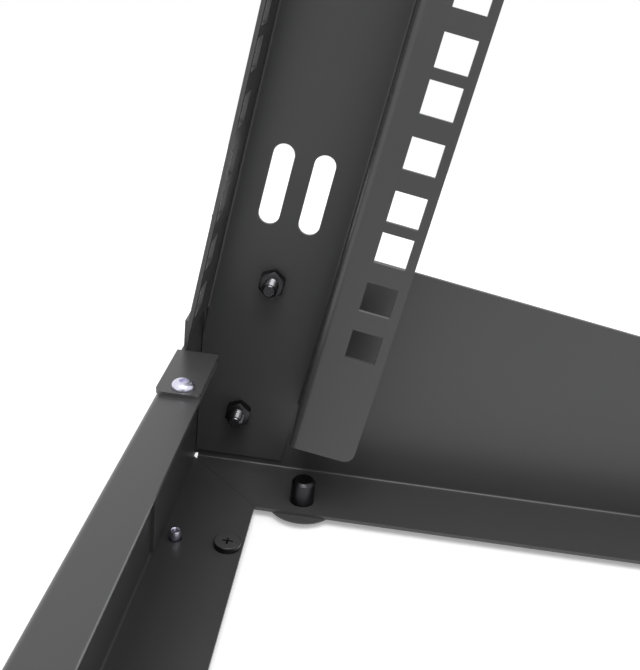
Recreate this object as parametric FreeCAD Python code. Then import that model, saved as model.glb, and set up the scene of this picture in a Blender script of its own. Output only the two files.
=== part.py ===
import FreeCAD, Part
import math
import os
from FreeCAD import Vector

# Two post open frame rack for a table top, folded from sheet steel.
# Both posts lean back over tapered side feet, which two cross beams join.
#
# Base frame of each side: x runs back from the front face of the base, y runs outward from the edge
# of the 19-inch opening, z runs up from the underside of the base.
# Post frame: x runs back square to the post, y as above, z runs up along the post, and the origin is
# the centre line of the lowest row of square holes in the rear lip.

# Rack standard, in mm.
rack_units = 12
unit_height = 44.45
hole_steps = (0.0, 15.875, 31.75)
first_hole_rise = 6.35
hole_size = 9.5
rail_opening = 450.0
hole_to_edge = 7.55

# Sheet steel.
sheet = 1.2
bend = 0.8
fit = 0.3
play = 0.1

# Posts.
lean = 9.1
post_width = 30.0
post_depth = 61.0
lip_width = 20.95
lip_drop = 40.4
lip_corner = 3.5
rail_drop = 14.0
rail_hole_drop = 2.4
slot_width = 6.9
slot_length = 26.7
slot_pitch = 13.3
slot_rows = 3
slot_rise = 33.1
slot_behind_rail = 13.7

# Base.
base_depth = 345.0
hole_back = 57.4
hole_height = 65.5
foot_rise = 17.1
bottom_flange = 28.2
front_beam_height = 54.4
rear_beam_drop = 6.0
beam_top_flange = 13.2
corner_flange = 30.0
post_foot_level = 4.5

# Tongue of the side foot that hooks over the cross beam, and the tab that rises in front of the rail's end.
tongue_length = 26.5
tongue_width = 13.0
tongue_root = 2.2
tongue_corner = 2.5
rail_tab_rise = 8.4
rail_tab_start = 6.0

# Levelling feet, wound fully in: a low domed pad under the flange and a stud through it.
pad_diameter = 23.4
pad_sole = 10.4
pad_height = 3.0
pad_rim = 0.4
pad_sides = 24
stud_diameter = 8.0
stud_above_flange = 8.5
stud_chamfer = 1.0
foot_back = 43.3
foot_from_side = 20.6

# Screws: widths of shank, head, socket and nut, and how far the end stands past what it holds.
round_sides = 12
post_bolt = {"shank": 5.0, "head": 9.5, "rise": 2.8, "socket": 3.0, "nut": 8.0, "nut_height": 4.0, "past": 9.5}
small_bolt = {"shank": 4.0, "head": 6.9, "rise": 2.0, "socket": 2.5, "nut": 7.0, "nut_height": 2.9, "past": 5.0}
head_rim = 0.25
head_crown = 0.5
socket_floor = 0.45
tip_taper = 0.1
web_bolt_from_rail = 20.4
post_bolt_upper = 1.2
post_bolt_spacing = 50.2
tongue_screw_back = 7.4
tongue_screw_from_end = 4.6
beam_bolt_back = 6.8
beam_screw_back = 23.3
beam_screw_from_side = 51.4
beam_screw_head = 8.5
beam_screw_rise = 2.1
beam_screw_nut_height = 1.8
cross_length = 0.55
cross_width = 0.11

# Top beam.
top_beam_width = 34.0
top_beam_height = 25.0
top_bolt_spacing = 16.0
top_bolt_drop = 13.0

# Worked out from the sizes above.
half_opening = rail_opening / 2
rail_front = hole_to_edge - post_depth
web_bolt_x = rail_front + web_bolt_from_rail
lip_fold = hole_to_edge - lip_width
post_top = rack_units * unit_height - first_hole_rise + lip_drop - first_hole_rise
lean_slope = math.tan(math.radians(lean))
lean_cosine = math.cos(math.radians(lean))
foot_outer = post_width + sheet
foot_y = foot_outer - foot_from_side
beam_screw_y = foot_outer - beam_screw_from_side
fold_reach = sheet + bend
post_bolt_places = {"upper": post_bolt_upper, "lower": post_bolt_upper - post_bolt_spacing}
foot_top_level = hole_height + foot_rise / lean_cosine
rear_beam_height = foot_top_level - (base_depth - hole_back) * lean_slope - rear_beam_drop
tongue_screw_in = tongue_length - tongue_screw_from_end
far = 1000.0

UP = Vector(0, 0, 1)


def corner_arc(before, corner, after, radius):
    """Start, middle and end of the arc that rounds one corner of an outline."""
    inward = (before - corner).normalize()
    outward = (after - corner).normalize()
    half = inward.getAngle(outward) / 2
    reach = radius / math.tan(half)
    middle = (inward + outward).normalize() * (radius / math.sin(half) - radius)
    return corner + inward * reach, corner + middle, corner + outward * reach


def rounded_edges(points, radii):
    """Edges along points, each inner corner rounded by its radius, where 0 keeps it sharp."""
    edges = []
    last = points[0]
    for index in range(1, len(points) - 1):
        if radii[index] > 0:
            start, middle, end = corner_arc(points[index - 1], points[index], points[index + 1], radii[index])
            edges.append(Part.LineSegment(last, start).toShape())
            edges.append(Part.Arc(start, middle, end).toShape())
            last = end
        else:
            edges.append(Part.LineSegment(last, points[index]).toShape())
            last = points[index]
    edges.append(Part.LineSegment(last, points[-1]).toShape())
    return edges


def offset_corners(path, distance):
    """Corner points of a flat path moved sideways, to the left of its direction."""
    moved = []
    for index, point in enumerate(path):
        sides = []
        if index > 0:
            run = (point - path[index - 1]).normalize()
            sides.append(Vector(-run.y, run.x, 0))
        if index < len(path) - 1:
            run = (path[index + 1] - point).normalize()
            sides.append(Vector(-run.y, run.x, 0))
        side = sides[0] + sides[-1]
        side = side * (1 / side.dot(sides[0]))
        moved.append(point + side * distance)
    return moved


def bent_sheet(corners, length):
    """Folded sheet: a path of face corners, thickened to its left, with true bend radii."""
    path = [Vector(x, y, 0) for x, y in corners]
    face_radii = [0.0] * len(path)
    back_radii = [0.0] * len(path)
    for index in range(1, len(path) - 1):
        turn = (path[index] - path[index - 1]).cross(path[index + 1] - path[index]).z
        face_radii[index] = bend + sheet if turn > 0 else bend
        back_radii[index] = bend if turn > 0 else bend + sheet
    back = offset_corners(path, sheet)
    edges = rounded_edges(path, face_radii)
    edges.append(Part.LineSegment(path[-1], back[-1]).toShape())
    edges += rounded_edges(back[::-1], back_radii[::-1])
    edges.append(Part.LineSegment(back[0], path[0]).toShape())
    return Part.Face(Part.Wire(Part.__sortEdges__(edges))).extrude(UP * length)


def plate(corners, thickness, radii=None):
    """Flat plate from a closed outline, its corners rounded where radii says so."""
    points = [Vector(x, y, 0) for x, y in corners]
    radii = radii or [0.0] * len(points)
    start = (points[-1] + points[0]) * 0.5
    outline = [start] + points + [start]
    edges = rounded_edges(outline, [0.0] + list(radii) + [0.0])
    return Part.Face(Part.Wire(edges)).extrude(UP * thickness)


def box(low, high):
    """Box between two corners."""
    return Part.makeBox(high[0] - low[0], high[1] - low[1], high[2] - low[2], Vector(*low))


def stand_up(shape):
    """Turn a section drawn in x and y so that its y runs up and its length runs outward."""
    shape.rotate(Vector(), Vector(1, 0, 0), 90)
    return shape.mirror(Vector(), Vector(0, 1, 0))


def run_back(shape):
    """Turn a section drawn in x and y so that x runs outward, y runs up and its length runs back."""
    shape.rotate(Vector(), Vector(1, 1, 1), 120)
    return shape


def lean_back(shape):
    """Tilt a shape from the post frame and set it in the base frame."""
    shape.rotate(Vector(), Vector(0, 1, 0), lean)
    shape.translate(Vector(hole_back, 0, hole_height))
    return shape


def from_rear(shape):
    """Mirror a shape of the front corner to the rear corner."""
    return shape.mirror(Vector(base_depth / 2, 0, 0), Vector(1, 0, 0))


def in_rack(shape, side):
    """Set a shape of the base frame at the left or right side of the rack."""
    placed = shape.copy()
    placed.rotate(Vector(), UP, 90)
    placed.translate(Vector(-half_opening, -base_depth / 2, pad_height))
    return placed if side == "left" else placed.mirror(Vector(), Vector(1, 0, 0))


def hole_heights():
    """Heights of the square holes along the post."""
    return [unit * unit_height + step for unit in range(rack_units) for step in hole_steps]


def slot_heights():
    """Heights of the slot pairs, evenly spaced and the same from both ends of the rail."""
    span = rack_units * unit_height - 2 * first_hole_rise - 2 * slot_rise
    return [slot_rise + span * row / (slot_rows - 1) for row in range(slot_rows)]


def slot_cutter(x, z):
    """Upright round-ended slot through the web."""
    half = slot_length / 2 - slot_width / 2
    y = post_width - 2 * sheet
    cutter = box((x - slot_width / 2, y, z - half), (x + slot_width / 2, y + 3 * sheet, z + half))
    for end in (z - half, z + half):
        round_end = Part.makeCylinder(slot_width / 2, 3 * sheet, Vector(x, y, end), Vector(0, 1, 0))
        cutter = cutter.fuse(round_end)
    return cutter


def ring(sides, width, level):
    """Corners of a regular polygon, its width across flats, one corner towards +y."""
    radius = width / 2 / math.cos(math.pi / sides)
    angles = [math.pi / 2 + 2 * math.pi * k / sides for k in range(sides)]
    return [Vector(radius * math.cos(a), radius * math.sin(a), level) for a in angles]


def flat_face(corners):
    """Flat face with the given corners."""
    return Part.Face(Part.makePolygon(corners + corners[:1]))


def prism(sides, width, height):
    """Regular prism standing on z = 0, its width across flats."""
    return flat_face(ring(sides, width, 0)).extrude(UP * height)


def taper(sides, low_width, high_width, height):
    """Regular prism that grows or shrinks from z = 0 to its height, all its faces flat."""
    low = ring(sides, low_width, 0)
    high = ring(sides, high_width, height)
    faces = [flat_face(low), flat_face(high)]
    for k in range(sides):
        faces.append(flat_face([low[k - 1], low[k], high[k], high[k - 1]]))
    return Part.makeSolid(Part.makeShell(faces))


def lift(shape, height):
    """Move a shape up."""
    shape.translate(UP * height)
    return shape


def web_hole(x, z, size):
    """Clearance hole of a bolt through the web and the sheet that lies on it, in the post frame."""
    reach = 3 * sheet
    cutter = prism(round_sides, size["shank"] + 2 * play, 2 * reach)
    cutter.rotate(Vector(), Vector(1, 0, 0), -90)
    cutter.translate(Vector(x, post_width - reach, z))
    return cutter


def sheet_hole(x, y, level, width):
    """Clearance hole through level sheets around a height, in the base frame."""
    cutter = prism(round_sides, width + 2 * play, 6 * sheet)
    cutter.translate(Vector(x, y, level - 3 * sheet))
    return cutter


def post_bolt_cutters():
    """Clearance holes of the two bolts that hold the post on its side foot."""
    return [web_hole(web_bolt_x, z, post_bolt) for z in post_bolt_places.values()]


def top_bolt_xs():
    """Places of the two top beam bolts across the web."""
    middle = (rail_front + lip_fold) / 2
    return {"front": middle - top_bolt_spacing / 2, "rear": middle + top_bolt_spacing / 2}


def top_bolt_cutters():
    """Clearance holes of the two bolts that hold the top beam."""
    return [web_hole(x, post_top - top_bolt_drop, post_bolt) for x in top_bolt_xs().values()]


def square_hole_cutters():
    """Square holes of the rear lip and, a little lower, of the rail flange."""
    half = hole_size / 2
    cutters = []
    for z in hole_heights():
        cutters.append(box((-half, -sheet, z - half), (half, 2 * sheet, z + half)))
        rail_z = z - rail_hole_drop
        rail_low = (rail_front - sheet, hole_to_edge - half, rail_z - half)
        rail_high = (rail_front + 2 * sheet, hole_to_edge + half, rail_z + half)
        cutters.append(box(rail_low, rail_high))
    return cutters


def slot_cutters():
    """Pairs of upright slots in the web."""
    front_x = rail_front + slot_behind_rail
    return [slot_cutter(x, z) for z in slot_heights() for x in (front_x, front_x + slot_pitch)]


def make_post():
    """Post: rail flange, web, inner wall and rear lip in one folded section, trimmed at its foot."""
    section = [
        (rail_front + sheet, 0.0),
        (rail_front + sheet, post_width - sheet),
        (lip_fold, post_width - sheet),
        (lip_fold, 0.0),
        (hole_to_edge, 0.0),
    ]
    start = -lip_drop - hole_height
    post = bent_sheet(section, post_top - start)
    post.translate(Vector(0, 0, start))
    cutters = square_hole_cutters() + slot_cutters() + post_bolt_cutters() + top_bolt_cutters()
    # The rail flange stops above the base, and the wall and lip stop above the bottom flange.
    cutters.append(box((-far, -far, -far), (rail_front + fold_reach, far, -rail_drop)))
    cutters.append(box((lip_fold - bend, -far, -far), (far, far, -lip_drop)))
    post = post.cut(cutters)
    lip_edges = [
        edge for edge in post.Edges
        if abs(edge.CenterOfMass.z + lip_drop) < play and abs(edge.CenterOfMass.x - hole_to_edge) < play
        and abs(edge.Length - sheet) < play
    ]
    post = post.makeFillet(lip_corner, lip_edges)
    post = lean_back(post)
    front_trim = box((-far, -far, -far), (2 * sheet + fit, far, front_beam_height))
    floor_trim = box((-far, -far, -far), (far, far, post_foot_level))
    return post.cut([front_trim, floor_trim])


def foot_top(x):
    """Height of the side foot's top edge, which runs square to the post."""
    return foot_top_level - (x - hole_back) * lean_slope


def mitre_cutter(keep_side_foot):
    """Prism that trims a bottom flange along the 45 degree joint at the front corner."""
    inner = (bottom_flange, foot_outer - bottom_flange)
    outer = (0.0, foot_outer)
    step_x = inner[0] - outer[0]
    step_y = inner[1] - outer[1]
    long_inner = (outer[0] + 2 * step_x, outer[1] + 2 * step_y)
    long_outer = (outer[0] - step_x, outer[1] - step_y)
    if keep_side_foot:
        away = (long_outer[0] - foot_outer, long_inner[1])
        shift = play / 2
    else:
        away = (long_inner[0], long_outer[1])
        shift = -play / 2
    corners = [(x + shift, y + shift) for x, y in (long_inner, long_outer, away)]
    cutter = plate(corners, 3 * fold_reach)
    cutter.translate(Vector(0, 0, -2 * fold_reach))
    return cutter


def corner_part(beam_height, panel_top, tab_rise):
    """Front flange of the side foot, behind the beam's web, with the tongue over the beam."""
    behind_web = sheet
    tab_level = beam_height + sheet
    tab_top = tab_level + tab_rise
    flange_path = [
        (behind_web + 3 * fold_reach, foot_outer),
        (behind_web, foot_outer),
        (behind_web, -corner_flange),
    ]
    folded = lift(bent_sheet(flange_path, tab_top - fold_reach - fit), fold_reach + fit)
    under_beam = box((-far, -far, beam_height - sheet - fit), (2 * fold_reach, -play, far))
    beside_tab = box((-far, -far, tab_level), (2 * fold_reach, rail_tab_start, far))
    folded = folded.cut([under_beam, beside_tab])
    upper = box((behind_web + fold_reach, post_width, tab_top), (behind_web + 3 * fold_reach, foot_outer, panel_top))
    tongue_outline = [
        (0.0, tongue_root),
        (0.0, -tongue_length),
        (tongue_width, -tongue_length),
        (tongue_width, tongue_root),
    ]
    tongue = lift(plate(tongue_outline, sheet, [0.0, tongue_corner, tongue_corner, 0.0]), beam_height)
    return folded, upper, tongue


def tongue_hole(beam_height):
    """Clearance hole of the tongue screw, through the tongue and the beam's top flange."""
    return sheet_hole(tongue_screw_back, -tongue_screw_in, beam_height, small_bolt["shank"])


def make_side_foot():
    """Tapered side panel with bottom flange, and at each end a corner flange with its tongue."""
    tall = foot_top(0)
    section = [(post_width + sheet - bottom_flange, 0.0), (foot_outer, 0.0), (foot_outer, tall)]
    body = run_back(bent_sheet(section, base_depth - 2 * (sheet + fold_reach)))
    body.translate(Vector(sheet + fold_reach, 0, 0))
    body = body.cut(mitre_cutter(True)).cut(from_rear(mitre_cutter(True)))
    front = corner_part(front_beam_height, tall, rail_tab_rise)
    rear = [from_rear(piece) for piece in corner_part(rear_beam_height, foot_top(base_depth), 0)]
    body = body.fuse(list(front) + list(rear))
    top_line = [(-far, foot_top(-far)), (2 * far, foot_top(2 * far)), (2 * far, far), (-far, far)]
    above = stand_up(plate(top_line, far))
    above.translate(Vector(0, post_width - fold_reach, 0))
    cutters = [above]
    cutters += [tongue_hole(front_beam_height), from_rear(tongue_hole(rear_beam_height))]
    cutters += [lean_back(cutter) for cutter in post_bolt_cutters()]
    stud_hole = sheet_hole(foot_back, foot_y, 0, stud_diameter)
    cutters += [stud_hole, from_rear(stud_hole)]
    return body.cut(cutters).removeSplitter()


def make_cross_beam(height):
    """Channel across the base, open to the inside, with mitred bottom flange and notched top flange."""
    section = [(beam_top_flange, height), (0.0, height), (0.0, 0.0), (bottom_flange, 0.0)]
    reach = half_opening + foot_outer
    beam = bent_sheet(section, reach)
    beam = stand_up(beam)
    beam.translate(Vector(0, -half_opening, 0))
    notch = box((sheet, -play, height - fold_reach), (far, far, far))
    return beam.cut([notch, mitre_cutter(False), tongue_hole(height)])


def front_beam_holes():
    """Clearance holes of the two small screws in the bottom flange."""
    return [sheet_hole(x, beam_screw_y, 0, small_bolt["shank"]) for x in (beam_bolt_back, beam_screw_back)]


def whole_beam(half_beam):
    """Join the left half of a cross member to its mirror image."""
    left = in_rack(half_beam, "left")
    right = in_rack(half_beam, "right")
    return left.fuse(right).removeSplitter()


def make_top_beam():
    """Half of the channel between the post webs, with its end folded down on the web."""
    middle = (rail_front + sheet + lip_fold) / 2
    low_x = middle - top_beam_width / 2
    high_x = middle + top_beam_width / 2
    section = [
        (low_x, post_top - top_beam_height),
        (low_x, post_top),
        (high_x, post_top),
        (high_x, post_top - top_beam_height),
    ]
    web_face = post_width - sheet
    channel = stand_up(bent_sheet(section[::-1], half_opening + web_face - 2 * fold_reach))
    channel.translate(Vector(0, -half_opening, 0))
    end_section = [
        (-half_opening, post_top),
        (web_face, post_top),
        (web_face, post_top - top_beam_height),
    ]
    ear = run_back(bent_sheet(end_section[::-1], top_beam_width - 4 * fold_reach))
    ear.translate(Vector(low_x + 2 * fold_reach, 0, 0))
    return lean_back(channel.fuse(ear).cut(top_bolt_cutters()))


def button_head(size):
    """Head with a rim, a crown that narrows upwards and a six-sided socket, on z = 0."""
    rise = size["rise"]
    rim = rise * head_rim
    crown = lift(taper(round_sides, size["head"], size["head"] * head_crown, rise - rim), rim)
    socket = lift(prism(6, size["socket"], rise), rise * socket_floor)
    return prism(round_sides, size["head"], rim).fuse(crown).cut(socket)


def shank(width, length):
    """Plain shank down from z = 0, its tip a little narrower."""
    tip = width * tip_taper
    body = lift(prism(round_sides, width, length - tip), tip - length)
    return body.fuse(lift(taper(round_sides, width - 2 * tip, width, tip), -length))


def bolt(size, grip):
    """Bolt along z with its head above z = 0 and its nut below the grip."""
    nut = lift(prism(6, size["nut"], size["nut_height"]), -grip - size["nut_height"])
    return button_head(size).fuse([shank(size["shank"], grip + size["past"]), nut]).removeSplitter()


def web_bolt(x, z, face, grip):
    """Bolt through the web from outside, in the post frame, with its head on the given face."""
    piece = bolt(post_bolt, grip)
    piece.rotate(Vector(), Vector(1, 0, 0), -90)
    piece.translate(Vector(x, face, z))
    return lean_back(piece)


def make_tongue_screw(beam_height):
    """Bright button-head screw through tongue and beam, with its nut under the beam's flange."""
    screw = bolt(small_bolt, 2 * sheet)
    screw.translate(Vector(tongue_screw_back, -tongue_screw_in, beam_height + sheet))
    return screw


def make_beam_bolt():
    """Small bolt from below, its end standing up inside the front beam."""
    piece = button_head(small_bolt).fuse(shank(small_bolt["shank"], sheet + small_bolt["past"])).removeSplitter()
    piece.rotate(Vector(), Vector(1, 0, 0), 180)
    piece.translate(Vector(beam_bolt_back, beam_screw_y, 0))
    return piece


def make_beam_screw():
    """Flat disc-head screw from above, with its thin nut under the bottom flange."""
    head = prism(round_sides, beam_screw_head, beam_screw_rise)
    long_half = beam_screw_head * cross_length / 2
    wide_half = beam_screw_head * cross_width / 2
    for x, y in ((long_half, wide_half), (wide_half, long_half)):
        head = head.cut(box((-x, -y, beam_screw_rise / 2), (x, y, 2 * beam_screw_rise)))
    nut = lift(prism(6, small_bolt["nut"], beam_screw_nut_height), -sheet - beam_screw_nut_height)
    body = shank(small_bolt["shank"], sheet + beam_screw_nut_height + small_bolt["shank"] * tip_taper)
    screw = head.fuse([body, nut]).removeSplitter()
    screw.translate(Vector(beam_screw_back, beam_screw_y, sheet))
    return screw


def make_foot_pad():
    """Low pad under the bottom flange, its underside narrowing to a round sole."""
    rim = lift(prism(pad_sides, pad_diameter, pad_rim), -pad_rim)
    sole = lift(taper(pad_sides, pad_sole, pad_diameter, pad_height - pad_rim), -pad_height)
    pad = rim.fuse(sole).removeSplitter()
    pad.translate(Vector(foot_back, foot_y, 0))
    return pad


def make_foot_stud():
    """Stud of the levelling foot, standing on its pad and up through the bottom flange."""
    length = sheet + stud_above_flange
    body = prism(round_sides, stud_diameter, length - stud_chamfer)
    top = taper(round_sides, stud_diameter, stud_diameter - 2 * stud_chamfer, stud_chamfer)
    stud = body.fuse(lift(top, length - stud_chamfer)).removeSplitter()
    stud.translate(Vector(foot_back, foot_y, 0))
    return stud


def side_pieces():
    """Every piece that a side of the rack has, in the base frame."""
    pieces = {"post": make_post(), "side_foot": make_side_foot()}
    pad = make_foot_pad()
    stud = make_foot_stud()
    pieces["foot_pad_front"] = pad
    pieces["foot_pad_rear"] = from_rear(pad)
    pieces["foot_stud_front"] = stud
    pieces["foot_stud_rear"] = from_rear(stud)
    for place, z in post_bolt_places.items():
        pieces["post_bolt_" + place] = web_bolt(web_bolt_x, z, foot_outer, 2 * sheet)
    for place, x in top_bolt_xs().items():
        pieces["top_bolt_" + place] = web_bolt(x, post_top - top_bolt_drop, post_width, 2 * sheet)
    pieces["tongue_screw_front"] = make_tongue_screw(front_beam_height)
    pieces["tongue_screw_rear"] = from_rear(make_tongue_screw(rear_beam_height))
    pieces["beam_bolt"] = make_beam_bolt()
    pieces["beam_screw"] = make_beam_screw()
    return pieces


def rack():
    """All nodes of the rack by name."""
    nodes = {}
    for name, shape in side_pieces().items():
        for side in ("left", "right"):
            nodes[name + "_" + side] = in_rack(shape, side)
    nodes["front_beam"] = whole_beam(make_cross_beam(front_beam_height).cut(front_beam_holes()))
    nodes["rear_beam"] = whole_beam(from_rear(make_cross_beam(rear_beam_height)))
    nodes["top_beam"] = whole_beam(make_top_beam())
    return nodes


os.makedirs("parts", exist_ok=True)
for name, shape in rack().items():
    shape.exportStep("parts/" + name + ".step")
    bounds = shape.BoundBox
    print(name, len(shape.Solids), "solid", round(shape.Volume / 1000, 2), "cm3",
          [round(v, 1) for v in (bounds.XMin, bounds.YMin, bounds.ZMin, bounds.XMax, bounds.YMax, bounds.ZMax)],
          "valid" if shape.isValid() else "BROKEN")
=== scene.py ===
# %% [markdown]
# This lesson dresses a two post open frame rack for a studio picture. The real rack is
# folded from steel sheet, powder-coated black, and held together by small screws. Its
# folded parts could be drawn again here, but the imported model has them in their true
# sizes, so they stay where they are and only get a finish. The screws and feet are drawn
# again, because their rounded edges and threads are what catches the light.

# %% Load the frame
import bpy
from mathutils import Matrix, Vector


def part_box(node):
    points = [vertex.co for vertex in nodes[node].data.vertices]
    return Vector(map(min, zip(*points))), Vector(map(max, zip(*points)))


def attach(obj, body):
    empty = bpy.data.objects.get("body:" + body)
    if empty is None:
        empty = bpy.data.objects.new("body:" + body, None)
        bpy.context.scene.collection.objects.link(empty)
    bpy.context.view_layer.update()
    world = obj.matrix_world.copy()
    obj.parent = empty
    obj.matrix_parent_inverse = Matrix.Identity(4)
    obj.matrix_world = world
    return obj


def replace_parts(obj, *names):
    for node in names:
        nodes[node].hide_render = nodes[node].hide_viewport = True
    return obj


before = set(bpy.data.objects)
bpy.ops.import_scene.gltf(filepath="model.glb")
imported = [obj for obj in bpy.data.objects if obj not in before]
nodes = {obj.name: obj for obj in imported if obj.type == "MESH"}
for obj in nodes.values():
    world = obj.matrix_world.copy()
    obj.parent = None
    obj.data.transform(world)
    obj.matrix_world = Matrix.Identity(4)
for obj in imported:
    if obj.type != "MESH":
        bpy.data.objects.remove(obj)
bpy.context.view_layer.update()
print("nodes in the frame:", len(nodes))

# %% [markdown]
# Blender counts in metres and a drawing of a screw in millimetres, so one value turns the
# one into the other. The posts of the real rack lean back, and the flats of their nuts
# lean with them. That direction could be measured on a mesh, but the angle of the lean
# says it plainly. Each side has the same small parts at its front and at its rear.

# %% Units, corners and directions
import math

import bmesh
import bpy
from mathutils import Matrix, Vector

MM = 0.001
SIDES = ("left", "right")
CORNERS = [end + "_" + side for side in SIDES for end in ("front", "rear")]
LEAN = math.radians(9.1)
ALONG_POST = Vector((0, math.sin(LEAN), math.cos(LEAN)))
UP = Vector((0, 0, 1))
BACK = Vector((0, 1, 0))
OUTWARD = {"left": Vector((-1, 0, 0)), "right": Vector((1, 0, 0))}

# %% [markdown]
# A colour is written as the hex value that a designer would pick from a picture. Shaders
# count in linear light, where the same grey is a much smaller number. Each one could be
# typed into the colour picker by hand, but one function treats them all alike and leaves
# the hex values readable. Its numbers are the curve of the sRGB standard.

# %% Colour
def linear(hex_value):
    """Linear RGBA of an sRGB colour such as 3d3d3e."""
    channels = [int(hex_value[i:i + 2], 16) / 255 for i in (0, 2, 4)]
    light = [c / 12.92 if c <= 0.04045 else ((c + 0.055) / 1.055) ** 2.4 for c in channels]
    return (*light, 1.0)


COAT_DARK = "3d3d3e"
COAT_LIGHT = "434344"
# Edge colour: a painted highlight where sharp edges would catch the light, partly thin skin.
COAT_EDGE_HIGHLIGHT = "525253"
print("powder coat in linear light:", [round(c, 4) for c in linear(COAT_DARK)[:3]])

# %% [markdown]
# A finish is a small network of nodes. It could be clicked together in the shader editor,
# but written down it can be read and repeated. One helper adds a node, sets its settings
# and values and links what feeds it, so that each finish below reads as a short recipe.

# %% Node helper
def add_node(tree, kind, settings=None, values=None, links=None):
    """Add a shader node, set its properties and socket values, and link its inputs."""
    node = tree.nodes.new(kind)
    for key, value in (settings or {}).items():
        setattr(node, key, value)
    for key, value in (values or {}).items():
        node.inputs[key].default_value = value
    for key, source in (links or {}).items():
        tree.links.new(source, node.inputs[key])
    return node


def new_material(name):
    """Empty node material, with its tree and output node."""
    material = bpy.data.materials.new(name)
    material.use_nodes = True
    tree = material.node_tree
    tree.nodes.clear()
    return material, tree, add_node(tree, "ShaderNodeOutputMaterial")


print("materials before the first finish:", len(bpy.data.materials))

# %% [markdown]
# The folded parts are powder-coated steel. Dry powder is sprayed on, melts in an oven and
# flows into a satin black skin with a very fine ripple, like the peel of an orange, whose
# waves are about a millimetre long. Sharp edges are painted a little lighter: partly the
# skin pulling thin there, partly a painted highlight for the glint that light gives them.
# That could be painted on by hand, but a rule treats every part at once: the bevel node
# says which way a slightly rounded edge would face, and where that turns away from the
# flat sheet, there is an edge. Wide faint clouds keep the large sheets from looking like
# one flat colour.

# %% Powder-coated steel
PEEL_SIZE = 0.9 * MM
PEEL_DEPTH = 0.01 * MM
CLOUD_SIZE = 60 * MM
EDGE_REACH = 0.2 * MM
AGREE_ON_SHEET = 0.99
AGREE_ON_EDGE = 0.80


def powder_coated_steel():
    """Satin black powder coat with orange-peel ripple and a painted highlight on its edges."""
    material, tree, output = new_material("powder_coated_steel")
    place = add_node(tree, "ShaderNodeTexCoord").outputs["Object"]
    peel = add_node(tree, "ShaderNodeTexNoise", values={"Scale": 1 / PEEL_SIZE, "Detail": 2.0},
                    links={"Vector": place})
    cloud = add_node(tree, "ShaderNodeTexNoise", values={"Scale": 1 / CLOUD_SIZE, "Detail": 3.0},
                     links={"Vector": place})
    rounded = add_node(tree, "ShaderNodeBevel", {"samples": 6}, {"Radius": EDGE_REACH})
    flat = add_node(tree, "ShaderNodeNewGeometry")
    agree = add_node(tree, "ShaderNodeVectorMath", {"operation": "DOT_PRODUCT"},
                     links={0: rounded.outputs["Normal"], 1: flat.outputs["Normal"]})
    # Mask of the sharp edges, where the colour gets a painted highlight.
    edge_highlight = add_node(tree, "ShaderNodeMapRange",
                    values={"From Min": AGREE_ON_SHEET, "From Max": AGREE_ON_EDGE},
                    links={"Value": agree.outputs["Value"]})
    tone = add_node(tree, "ShaderNodeMix", {"data_type": "RGBA"},
                    {"A": linear(COAT_DARK), "B": linear(COAT_LIGHT)},
                    {"Factor": cloud.outputs["Fac"]})
    colour = add_node(tree, "ShaderNodeMix", {"data_type": "RGBA"}, {"B": linear(COAT_EDGE_HIGHLIGHT)},
                      {"Factor": edge_highlight.outputs["Result"], "A": tone.outputs["Result"]})
    sheen = add_node(tree, "ShaderNodeMapRange", values={"To Min": 0.32, "To Max": 0.38},
                     links={"Value": peel.outputs["Fac"]})
    ripple = add_node(tree, "ShaderNodeBump", values={"Strength": 0.05, "Distance": PEEL_DEPTH},
                      links={"Height": peel.outputs["Fac"]})
    skin = add_node(tree, "ShaderNodeBsdfPrincipled", values={"Metallic": 0.0, "IOR": 1.5},
                    links={"Base Color": colour.outputs["Result"],
                           "Roughness": sheen.outputs["Result"],
                           "Normal": ripple.outputs["Normal"]})
    tree.links.new(skin.outputs["BSDF"], output.inputs["Surface"])
    return material


coat = powder_coated_steel()
print("nodes in the powder coat:", len(coat.node_tree.nodes))

# %% [markdown]
# Each folded part is coated all over in one go, so one material for the whole part is
# enough. Some screws have two finishes, so the helper takes several and each group of
# faces keeps the one it was drawn for. Emptying a list that is already empty would make
# the faces forget their group, so that is left out.

# %% Coat the folded parts
def paint(piece, *materials):
    """Give a piece its material, or one for each group of its faces."""
    if piece.data.materials:
        piece.data.materials.clear()
    for material in materials:
        piece.data.materials.append(material)


FOLDED = ["front_beam", "rear_beam", "top_beam"]
FOLDED += [part + "_" + side for part in ("post", "side_foot") for side in SIDES]
for name in FOLDED:
    paint(nodes[name], coat)
print("powder-coated:", FOLDED)

# %% [markdown]
# Screws, nuts and feet are turned or pressed, so most of each is a body of revolution.
# It could start from a ready-made cylinder, but one profile swept round an axis, as on a
# lathe, gives every step and chamfer at once. A profile is a list of radius and height in
# millimetres. A third value rounds that corner by so much, because a real edge is never
# perfectly sharp and its rounding is what catches the light.

# %% Turned bodies
ROUND = 64
CORNER_STEPS = (0, 0.25, 0.5, 0.75, 1)


def soften(profile):
    """Points of a profile, with a curve in place of each corner that has a third value."""
    points = [Vector(point[:2]) for point in profile]
    softened = []
    for k, point in enumerate(profile):
        radius = point[2] if len(point) > 2 else 0
        if radius == 0:
            softened.append(points[k])
            continue
        before = (points[k - 1] - points[k]).normalized() * radius
        after = (points[k + 1] - points[k]).normalized() * radius
        for t in CORNER_STEPS:
            softened.append(points[k] + before * (1 - t) ** 2 + after * t ** 2)
    return softened


def on_circle(radius, angle, height):
    """Point round the z axis, from a radius and height in mm."""
    return (radius * MM * math.sin(angle), radius * MM * math.cos(angle), height * MM)


def as_mesh(form, name):
    """Plain mesh of a form that is ready."""
    mesh = bpy.data.meshes.new(name)
    form.to_mesh(mesh)
    form.free()
    return mesh


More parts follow.
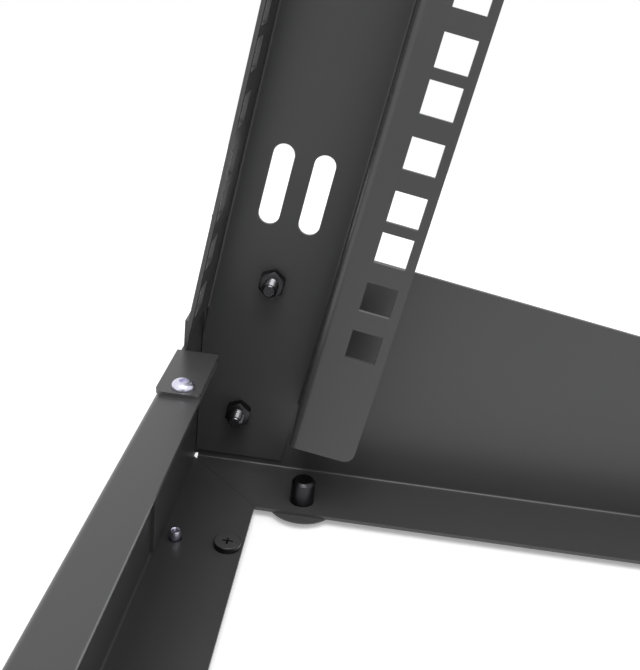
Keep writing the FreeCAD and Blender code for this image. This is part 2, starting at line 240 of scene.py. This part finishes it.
def turned(profile, steps=ROUND):
    """Mesh swept from a closed profile round the z axis."""
    form = bmesh.new()
    rings = []
    for radius, height in soften(profile):
        angles = [2 * math.pi * k / steps for k in range(steps)] if radius > 0 else [0]
        rings.append([form.verts.new(on_circle(radius, angle, height)) for angle in angles])
    for low, high in zip(rings, rings[1:]):
        for k in range(steps):
            corners = [low[k - 1] if len(low) > 1 else low[0], low[k % len(low)],
                       high[k % len(high)], high[k - 1] if len(high) > 1 else high[0]]
            form.faces.new(list(dict.fromkeys(corners)))
    bmesh.ops.recalc_face_normals(form, faces=form.faces)
    return as_mesh(form, "turned")


print("points of one rounded corner:", len(soften([(0, 0), (1, 0, 0.1), (1, 1)])) - 2)

# %% [markdown]
# Sockets, cross slots and the chamfers of nuts are made as the workshop makes them: one
# form is cut by another. Their edges could be drawn corner by corner, but the boolean
# modifier works them out, and its result is kept as a plain mesh.

# %% Cut forms
def as_object(name, mesh):
    """Put a mesh in the scene."""
    piece = bpy.data.objects.new(name, mesh)
    bpy.context.scene.collection.objects.link(piece)
    return piece


def shaped(body, tool, operation):
    """Mesh left when one form is cut by another, or kept within it."""
    holder = as_object("body", body)
    other = as_object("tool", tool)
    step = holder.modifiers.new("shape", "BOOLEAN")
    step.operation = operation
    step.object = other
    graph = bpy.context.evaluated_depsgraph_get()
    result = bpy.data.meshes.new_from_object(holder.evaluated_get(graph))
    bpy.data.objects.remove(holder)
    bpy.data.objects.remove(other)
    return result


def one_mesh(*groups):
    """Several meshes in one, their surfaces not joined. Each group takes its own material."""
    form = bmesh.new()
    for index, meshes in enumerate(groups):
        for mesh in meshes:
            for face in mesh.polygons:
                face.material_index = index
            form.from_mesh(mesh)
    return as_mesh(form, "joined")


# %% [markdown]
# A button-head bolt has a low domed head with a six-sided socket. The dome could be part
# of a sphere, but a pressed head is flatter on top, so a quarter ellipse runs from the
# rim to a small flat. The lathe also makes the socket's hexagon, with six steps instead
# of sixty-four.

# %% Button head
HEXAGON = 6
DOME_STEPS = 9
RIM_SHARE = 0.14
FLAT_SHARE = 0.23
UNDER_EDGE = 0.1
SOCKET_FLOOR = 0.4
SOCKET_TOP = 1.5
POST_HEAD_RISE = 2.8


def hexagon(width, low, high):
    """Six-sided bar between two heights, its width across flats."""
    radius = width / 2 / math.cos(math.pi / HEXAGON)
    return turned([(0, low), (radius, low), (radius, high), (0, high)], HEXAGON)


def button_head(width, rise, socket):
    """Domed head on z = 0 with a six-sided socket."""
    rim = rise * RIM_SHARE
    half = width / 2
    dome = [(0, 0), (half - UNDER_EDGE, 0), (half, UNDER_EDGE), (half, rim)]
    for k in range(1, DOME_STEPS):
        angle = math.pi / 2 * k / DOME_STEPS
        radius = width * (FLAT_SHARE + (0.5 - FLAT_SHARE) * math.cos(angle))
        dome.append((radius, rim + (rise - rim) * math.sin(angle)))
    dome += [(width * FLAT_SHARE, rise), (0, rise)]
    socket_bar = hexagon(socket, rise * SOCKET_FLOOR, rise * SOCKET_TOP)
    return shaped(turned(dome), socket_bar, "DIFFERENCE")


post_head = button_head(width=9.5, rise=POST_HEAD_RISE, socket=3.0)
print("faces of a post bolt's head:", len(post_head.polygons))

# %% [markdown]
# A nut is a slice of hexagon bar whose corners are turned off by a cone on both faces,
# which leaves a round face within the hexagon. The arcs where cone and flats meet are
# hard to draw, so the hexagon is kept within a turned barrel and the arcs come by themselves.

# %% Hexagon nut
CONE_SHARE = 0.87
CONE_ANGLE = math.radians(30)
SPARE_BAR = 1


def hexagon_nut(width, height, low):
    """Nut from a height upwards, its corners turned off by a cone on both faces."""
    flat = width / 2 * CONE_SHARE
    corner = width / 2 / math.cos(math.pi / HEXAGON)
    fall = (corner - flat) * math.tan(CONE_ANGLE)
    high = low + height
    barrel = turned([(0, low), (flat, low), (corner, low + fall), (corner, high - fall),
                     (flat, high), (0, high)])
    return shaped(hexagon(width, low - SPARE_BAR, high + SPARE_BAR), barrel, "INTERSECT")


post_nut = hexagon_nut(width=8.0, height=4.0, low=-6.4)
print("faces of a post bolt's nut:", len(post_nut.polygons))

# %% [markdown]
# A thread is one small triangle wound along a helix. Bump could draw its lines, but not
# its outline, and its flanks face every way, so a threaded end glints white under light
# from above where a smooth one would stay dark. The ridge rises from nothing over half a
# turn at the tip, as it does where the real thread runs out.

# %% Threaded shank
THREAD_DEPTH = 0.61
RUN_OUT_TURNS = 0.5
THREAD_OVERLAP = 0.02
SINK_IN_HEAD = 0.05
END_CHAMFER = 0.3
PLAIN_END = 0.2


def thread(width, pitch, low, high):
    """One triangular ridge wound round a core between two heights, in mm."""
    form = bmesh.new()
    depth = THREAD_DEPTH * pitch
    foot = width / 2 - depth
    sections = []
    for k in range(round((high - low - pitch) / pitch * ROUND) + 1):
        angle = 2 * math.pi * k / ROUND
        height = low + pitch * k / ROUND
        missing = 1 - min(1.0, k / ROUND / RUN_OUT_TURNS)
        ridge = [(foot, 0), (width / 2 - depth * missing, pitch / 2), (foot, pitch)]
        sections.append([form.verts.new(on_circle(r, angle, height + h)) for r, h in ridge])
    for one, two in zip(sections, sections[1:]):
        for k in (0, 1):
            form.faces.new((one[k], one[k + 1], two[k + 1], two[k]))
    form.faces.new(sections[0])
    form.faces.new(sections[-1])
    bmesh.ops.recalc_face_normals(form, faces=form.faces)
    return as_mesh(form, "thread")


def shank(width, length, pitch):
    """Threaded shank down from z = 0, its core a little narrower, with a chamfer at its end."""
    core = width / 2 - THREAD_DEPTH * pitch + THREAD_OVERLAP
    body = turned([(0, SINK_IN_HEAD), (core, SINK_IN_HEAD), (core, -length + END_CHAMFER),
                   (core - END_CHAMFER, -length), (0, -length)])
    return one_mesh([body, thread(width, pitch, PLAIN_END - length, 0)])


post_shank = shank(width=5.0, length=11.9, pitch=0.8)
POST_BOLT = one_mesh([post_head, post_shank], [post_nut])
print("faces of a post bolt with its nut:", len(POST_BOLT.polygons))

# %% [markdown]
# The bolts that clamp the posts are black oxide steel: a hot salt bath turns the skin of
# the metal into a thin dark oxide. The nuts and the levelling studs are phosphated, which
# leaves a duller and darker grey. The screws at the tongues and one pair in the beam are
# zinc-plated: bright and smooth, under a clear chromate that makes white reflections look
# lavender. Plain greys would be simpler, but only a metallic shader gives their tinted
# sharp glints. One recipe serves all three, each with its own tones and roughness. Real
# oxide grain is too fine to show and is drawn coarser, 0.6 mm wide.

# %% Steel skins
OXIDE_GRAIN = 0.6 * MM
PLATING_CLOUD = 1.5 * MM


def steel_skin(name, tones, sheens, grain, detail):
    """Metal between two tones and two roughnesses, in blotches of one size."""
    material, tree, output = new_material(name)
    place = add_node(tree, "ShaderNodeTexCoord").outputs["Object"]
    blotch = add_node(tree, "ShaderNodeTexNoise", values={"Scale": 1 / grain, "Detail": detail},
                      links={"Vector": place})
    tone = add_node(tree, "ShaderNodeMix", {"data_type": "RGBA"},
                    {"A": linear(tones[0]), "B": linear(tones[1])},
                    {"Factor": blotch.outputs["Fac"]})
    sheen = add_node(tree, "ShaderNodeMapRange",
                     values={"To Min": sheens[0], "To Max": sheens[1]},
                     links={"Value": blotch.outputs["Fac"]})
    skin = add_node(tree, "ShaderNodeBsdfPrincipled", values={"Metallic": 1.0},
                    links={"Base Color": tone.outputs["Result"],
                           "Roughness": sheen.outputs["Result"]})
    tree.links.new(skin.outputs["BSDF"], output.inputs["Surface"])
    return material


black_oxide = steel_skin("black_oxide_steel", tones=("5a5a5c", "68686b"), sheens=(0.22, 0.32),
                         grain=OXIDE_GRAIN, detail=3.0)
phosphated = steel_skin("phosphated_steel", tones=("39393b", "434345"), sheens=(0.32, 0.42),
                        grain=OXIDE_GRAIN, detail=3.0)
zinc = steel_skin("zinc_plated_steel", tones=("dad8ec", "e8e7f4"), sheens=(0.24, 0.34),
                  grain=PLATING_CLOUD, detail=2.0)
print("steel skins:", [skin.name for skin in (black_oxide, phosphated, zinc)])

# %% [markdown]
# Every screw is drawn standing up, with the underside of its head at zero. To set it in
# the rack, its height is turned to point where the real head points. Its place could be
# typed in, but the node that it replaces already has it: the outer face of that node's
# box is the top of the head. Two bolts clamp each post and two more hold the top beam.

# %% Post and top bolts
SMOOTH_BELOW = math.radians(32)


def set_in_place(name, mesh, node, axis, aside, top, slot, *materials):
    """Replace a node by a piece whose z points along axis, with its top at the box's far face."""
    low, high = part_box(node)
    centre = (low + high) / 2
    half = (high - low) / 2
    reach = sum(abs(a) * h for a, h in zip(axis, half))
    origin = centre + axis * (reach - top * MM)
    across = aside.cross(axis).normalized()
    turn = Matrix((across, axis.cross(across), axis)).transposed().to_4x4()
    placed = mesh.copy()
    placed.transform(Matrix.Translation(origin) @ turn)
    placed.shade_smooth()
    placed.set_sharp_from_angle(angle=SMOOTH_BELOW)
    piece = as_object(name, placed)
    paint(piece, *materials)
    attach(piece, "root")
    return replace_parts(piece, node)


BOLTS = ("post_bolt_upper_", "post_bolt_lower_", "top_bolt_front_", "top_bolt_rear_")
for side in SIDES:
    for name in BOLTS:
        set_in_place(name + "turned_" + side, POST_BOLT, name + side, OUTWARD[side], ALONG_POST,
                     POST_HEAD_RISE, "black_steel", black_oxide, phosphated)
print("post and top bolts:", len(BOLTS) * len(SIDES))

# %% [markdown]
# A tongue of each side foot hooks over the beam and a bright button-head screw holds it
# there. It is the bolt of the post again, only smaller, so the same helpers draw it.

# %% Tongue screws
SMALL_HEAD_RISE = 2.0
small_head = button_head(width=6.9, rise=SMALL_HEAD_RISE, socket=2.5)
tongue_shank = shank(width=4.0, length=7.4, pitch=0.7)
tongue_nut = hexagon_nut(width=7.0, height=2.9, low=-5.3)
TONGUE_SCREW = one_mesh([small_head, tongue_shank, tongue_nut])
for corner in CORNERS:
    name = "tongue_screw_" + corner
    set_in_place(name + "_turned", TONGUE_SCREW, name, UP, BACK, SMALL_HEAD_RISE,
                 "zinc_steel", zinc)
print("faces of a tongue screw:", len(TONGUE_SCREW.polygons))

# %% [markdown]
# Two more small screws go through the bottom flange of the front beam at each side. The
# first comes from below, and its plated end stands up as a small bead with a rim round a
# hollow. A ball could stand for it, but the rim is what shows, so the bead is turned from
# a profile, which starts in the head and runs down to the rim.

# %% Beam bolts, from below
bead = turned([(0, SINK_IN_HEAD), (1.6, SINK_IN_HEAD), (1.6, -1.3, 0.2), (2.0, -2.7, 0.9),
               (1.6, -4.5, 0.15), (1.35, -4.5, 0.1), (1.2, -4.15, 0.1), (0.5, -4.15, 0.1),
               (0, -4.3)])
BEAM_BOLT = one_mesh([small_head, bead])
for side in SIDES:
    set_in_place("beam_bolt_turned_" + side, BEAM_BOLT, "beam_bolt_" + side, -UP, BACK,
                 SMALL_HEAD_RISE, "zinc_steel", zinc)
print("faces of a beam bolt:", len(BEAM_BOLT.polygons))

# %% [markdown]
# The second is a flat disc with a cross slot, screwed in from above. Its top is coated like
# the beam. Its side is dark steel, darker than the top as painted shade where little light
# falls, so it is drawn as a disc with a thin cap.
# The slot is cut one blade of the driver after the other, because two crossed blades in
# one tool would overlap and confuse the cut.

# %% Beam screws, from above
BLADE_TAPER = 0.45
CAP_TOP = 2.1


def cross_blade(length, width, low, high, turn):
    """One blade of a cross-head driver, which narrows downwards."""
    form = bmesh.new()
    for vertex in bmesh.ops.create_cube(form, size=1)["verts"]:
        narrow = 1.0 if vertex.co.z > 0 else BLADE_TAPER
        height = high if vertex.co.z > 0 else low
        place = Vector((vertex.co.x * length * narrow, vertex.co.y * width, height))
        vertex.co = Matrix.Rotation(turn, 3, "Z") @ place * MM
    return as_mesh(form, "blade")


shaded_side_disc = turned([(0, 0), (4.25, 0, 0.15), (4.25, 1.95, 0.1), (0, 1.95)])
cap = turned([(0, 1.9), (4.15, 1.9), (4.0, CAP_TOP, 0.1), (0, CAP_TOP)])
for turn in (0, math.pi / 2):
    blade = cross_blade(length=4.0, width=0.75, low=0.2, high=2.6, turn=turn)
    shaded_side_disc = shaped(shaded_side_disc, blade, "DIFFERENCE")
    cap = shaped(cap, blade, "DIFFERENCE")
disc_shank = shank(width=4.0, length=3.4, pitch=0.7)
disc_nut = hexagon_nut(width=7.0, height=1.8, low=-3.0)
# The dark steel of the disc's side is painted shade; the cap carries the beam's coat.
BEAM_SCREW = one_mesh([shaded_side_disc, disc_shank, disc_nut], [cap])
for side in SIDES:
    set_in_place("beam_screw_turned_" + side, BEAM_SCREW, "beam_screw_" + side, UP, BACK,
                 CAP_TOP, "black_steel", phosphated, coat)
print("faces of the slotted disc:", len(shaded_side_disc.polygons))

# %% [markdown]
# Each levelling foot is a steel stud in a moulded pad. It is wound fully in, so only the
# end of the stud shows inside the rack. That end is plain and round with a wide chamfer.
# A thread could be added as on the bolts, but none shows here, so one profile is enough.

# %% Levelling studs
STUD = turned([(0, -9.7), (3.9, -9.7), (4.0, -9.6), (4.0, -1.0, 0.15), (3.05, 0, 0.2), (0, 0)])
for corner in CORNERS:
    name = "foot_stud_" + corner
    set_in_place(name + "_turned", STUD, name, UP, BACK, 0.0, "black_steel", phosphated)
print("faces of a stud:", len(STUD.polygons))

# %% [markdown]
# The pad is glass-filled nylon, moulded in a spark-eroded mould that leaves a matt
# grey-black skin with a fine even grain. A flat grey would look like rubber, so faint
# noise mixes two tones and lifts the grain a little. The real grain is too fine to show
# and is drawn coarser, 0.4 mm wide.

# %% Moulded nylon
NYLON_GRAIN = 0.4 * MM
NYLON_RELIEF = 0.03 * MM


def moulded_nylon():
    """Matt dark plastic with a fine moulded grain."""
    material, tree, output = new_material("moulded_nylon")
    place = add_node(tree, "ShaderNodeTexCoord").outputs["Object"]
    grain = add_node(tree, "ShaderNodeTexNoise", values={"Scale": 1 / NYLON_GRAIN, "Detail": 2.0},
                     links={"Vector": place})
    tone = add_node(tree, "ShaderNodeMix", {"data_type": "RGBA"},
                    {"A": linear("3c3c3d"), "B": linear("464647")},
                    {"Factor": grain.outputs["Fac"]})
    relief = add_node(tree, "ShaderNodeBump", values={"Strength": 0.2, "Distance": NYLON_RELIEF},
                      links={"Height": grain.outputs["Fac"]})
    skin = add_node(tree, "ShaderNodeBsdfPrincipled", values={"Roughness": 0.5, "IOR": 1.53},
                    links={"Base Color": tone.outputs["Result"],
                           "Normal": relief.outputs["Normal"]})
    tree.links.new(skin.outputs["BSDF"], output.inputs["Surface"])
    return material


nylon = moulded_nylon()
print("nodes in the nylon:", len(nylon.node_tree.nodes))

# %% [markdown]
# The pad itself lies flat under the bottom flange: a shallow cone that widens towards the
# flange, with a groove round its sole that keeps it from sliding. It is round all over,
# so it comes off the lathe as well.

# %% Foot pads
PAD = turned([(0, -3.0), (3.4, -3.0, 0.1), (3.7, -2.6, 0.1), (4.3, -2.6, 0.1), (4.6, -3.0, 0.1),
              (5.2, -3.0, 0.2), (11.7, -0.4, 0.25), (11.7, 0, 0.1), (0, 0)])
for corner in CORNERS:
    name = "foot_pad_" + corner
    set_in_place(name + "_moulded", PAD, name, UP, BACK, 0.0, "foot_plastic", nylon)
print("faces of a pad:", len(PAD.polygons))

# %% [markdown]
# The rack is photographed against plain white in soft light. White walls could be built
# and lit, but a white world does the same. Rays from the camera, from a reflection or
# through a clear body see it at strength 1, which is white. The light that falls on the
# rack is a little weaker, and weakest from the rack's right, low down, because the faces
# that look that way are darker in the photograph.

# %% White world
SOFT_LIGHT = 0.85
DIM_LIGHT = 0.3
DIM_WAY = (0.97, 0.0, -0.24)
DIM_FROM = 0.4
DIM_FULL = 0.95
WHITE = (1, 1, 1, 1)


def shown_rays(tree):
    """Socket that is 1 for rays that see the background: straight, mirrored or through a body."""
    rays = add_node(tree, "ShaderNodeLightPath")
    seen = add_node(tree, "ShaderNodeMath", {"operation": "MAXIMUM"},
                    links={0: rays.outputs["Is Camera Ray"], 1: rays.outputs["Is Glossy Ray"]})
    shown = add_node(tree, "ShaderNodeMath", {"operation": "MAXIMUM"},
                     links={0: seen.outputs["Value"], 1: rays.outputs["Is Transmission Ray"]})
    return shown.outputs["Value"]


def white_world():
    """World that lights softly, a little less from the right, and shows white itself."""
    world = bpy.data.worlds.new("studio_white")
    world.use_nodes = True
    tree = world.node_tree
    tree.nodes.clear()
    way = add_node(tree, "ShaderNodeTexCoord").outputs["Generated"]
    toward = add_node(tree, "ShaderNodeVectorMath", {"operation": "DOT_PRODUCT"},
                      {1: DIM_WAY}, {0: way})
    dim = add_node(tree, "ShaderNodeMapRange",
                   values={"From Min": DIM_FROM, "From Max": DIM_FULL,
                           "To Min": SOFT_LIGHT, "To Max": DIM_LIGHT},
                   links={"Value": toward.outputs["Value"]})
    soft = add_node(tree, "ShaderNodeBackground", values={"Color": WHITE},
                    links={"Strength": dim.outputs["Result"]})
    plain = add_node(tree, "ShaderNodeBackground", values={"Color": WHITE, "Strength": 1.0})
    mix = add_node(tree, "ShaderNodeMixShader",
                   links={0: shown_rays(tree), 1: soft.outputs["Background"],
                          2: plain.outputs["Background"]})
    output = add_node(tree, "ShaderNodeOutputWorld")
    tree.links.new(mix.outputs["Shader"], output.inputs["Surface"])
    return world


bpy.context.scene.world = white_world()
print("nodes in the world:", len(bpy.context.scene.world.node_tree.nodes))

# %% [markdown]
# The rack stands on a matt pale floor, which shows its shadow. In this light the floor
# would come out just short of white. More light would bleach the rack, so the floor gets
# a faint glow of its own that only the camera and reflections see.

# %% Pale floor
FLOOR_REACH = 0.75
FLOOR_GLOW = 0.3


def pale_floor():
    """Floor that keeps the rack's shadow and otherwise shows as white as the studio."""
    corners = [(-FLOOR_REACH, -FLOOR_REACH, 0), (FLOOR_REACH, -FLOOR_REACH, 0),
               (FLOOR_REACH, FLOOR_REACH, 0), (-FLOOR_REACH, FLOOR_REACH, 0)]
    mesh = bpy.data.meshes.new("floor")
    mesh.from_pydata(corners, [], [(0, 1, 2, 3)])
    piece = as_object("floor", mesh)
    material, tree, output = new_material("pale_floor")
    glow = add_node(tree, "ShaderNodeMath", {"operation": "MULTIPLY"}, {1: FLOOR_GLOW},
                    {0: shown_rays(tree)})
    lift = add_node(tree, "ShaderNodeEmission", links={"Strength": glow.outputs["Value"]})
    matt = add_node(tree, "ShaderNodeBsdfDiffuse", values={"Color": linear("f2f2f2")})
    both = add_node(tree, "ShaderNodeAddShader",
                    links={0: matt.outputs["BSDF"], 1: lift.outputs["Emission"]})
    tree.links.new(both.outputs["Shader"], output.inputs["Surface"])
    paint(piece, material)


pale_floor()
print("floor size in m:", 2 * FLOOR_REACH)

# %% [markdown]
# One soft box hangs above the rack, over its right side. A small lamp would throw hard
# shadows. A wide one gives soft ones, and a broad glint on the ends of the bolts.

# %% Soft box
LAMP_PLACE = Vector((0.55, 0.0, 1.45))
LAMP_TARGET = Vector((-0.2, -0.1, 0.1))
LAMP_SIZE = 0.9
LAMP_WATTS = 17.0

lamp_data = bpy.data.lights.new("soft_box", "AREA")
lamp_data.size = LAMP_SIZE
lamp_data.energy = LAMP_WATTS
lamp = bpy.data.objects.new("soft_box", lamp_data)
bpy.context.scene.collection.objects.link(lamp)
lamp.location = LAMP_PLACE
lamp.rotation_mode = "QUATERNION"
lamp.rotation_quaternion = (LAMP_TARGET - LAMP_PLACE).to_track_quat("-Z", "Y")
print("soft box to target in m:", round((LAMP_TARGET - LAMP_PLACE).length, 2))

# %% [markdown]
# The photograph was taken from between the posts, low over the base, with the camera held
# at a slant. It could be aimed by eye, but the spacing of the rack's holes is known, and
# from that the camera's place, its two directions and its focal length were worked out.
# The Standard view shows colours as they are written.

# %% Camera
CAMERA_PLACE = (0.03721, -0.11508, 0.1866)
CAMERA_RIGHT = (-0.09612, 0.99021, 0.10126)
CAMERA_UP = (-0.39486, -0.13132, 0.90931)
PHOTO_SIZE = (640, 670)
FOCAL_PIXELS = 950.2
SENSOR = 36.0
NEAREST_SEEN = 0.01


def studio_camera():
    """Camera at the photograph's place, turned by its right and up directions."""
    data = bpy.data.cameras.new("camera")
    data.sensor_width = SENSOR
    data.lens = FOCAL_PIXELS * SENSOR / max(PHOTO_SIZE)
    data.clip_start = NEAREST_SEEN
    camera = bpy.data.objects.new("camera", data)
    bpy.context.scene.collection.objects.link(camera)
    right = Vector(CAMERA_RIGHT).normalized()
    backward = right.cross(Vector(CAMERA_UP)).normalized()
    up = backward.cross(right)
    turn = Matrix((right, up, backward)).transposed().to_4x4()
    camera.matrix_world = Matrix.Translation(CAMERA_PLACE) @ turn
    return camera


bpy.context.scene.camera = studio_camera()
bpy.context.scene.view_settings.view_transform = "Standard"
print("focal length in mm:", round(bpy.context.scene.camera.data.lens, 2))
